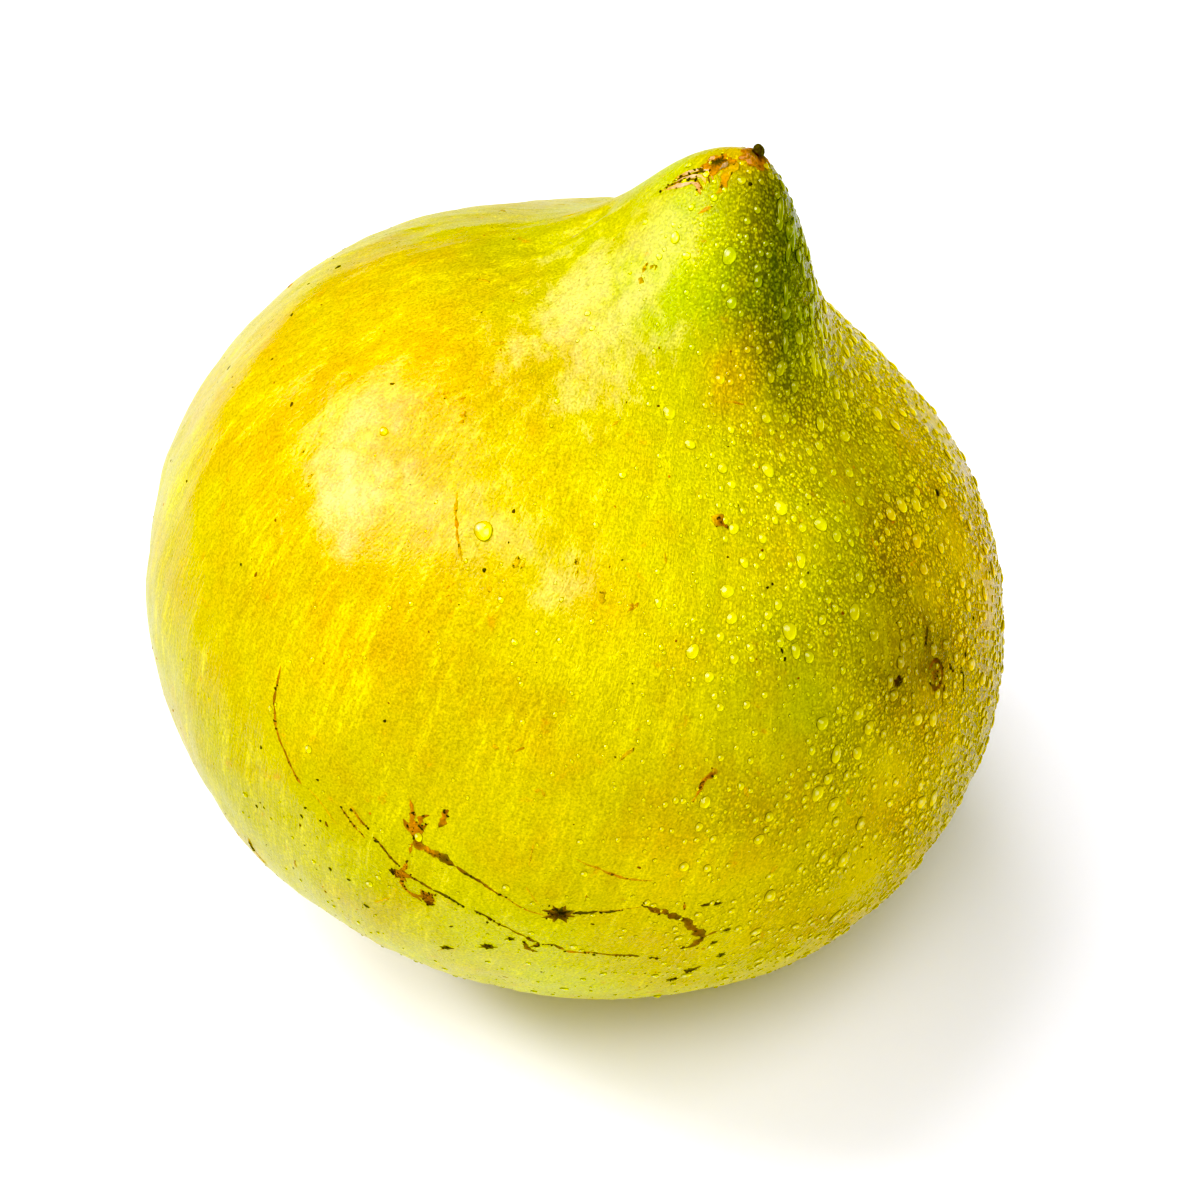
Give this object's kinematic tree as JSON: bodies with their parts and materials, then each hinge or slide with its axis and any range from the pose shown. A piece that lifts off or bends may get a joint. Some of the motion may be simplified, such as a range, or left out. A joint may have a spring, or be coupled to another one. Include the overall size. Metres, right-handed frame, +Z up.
{
  "type": "egg fruit",
  "caption": "Ripe egg fruit (canistel): round yellow fruit with a conical green-tinged beak and a dried style, lying on a small flat spot.",
  "frame": {"origin": "centre of the flat spot that the fruit rests on", "axes": "+Z up, away from the surface; +X to the side that the beak leans to; -Y to the front"},
  "size_m": [0.0782, 0.0771, 0.0825],
  "materials": {
    "yellow_skin": "smooth waxy fruit skin, satin to glossy, yellow with green on the beak",
    "dried_style": "dry, dark brown and rough"
  },
  "bodies": {
    "root": {"fruit": "yellow_skin", "style_tip": "dried_style"}
  },
  "joints": []
}
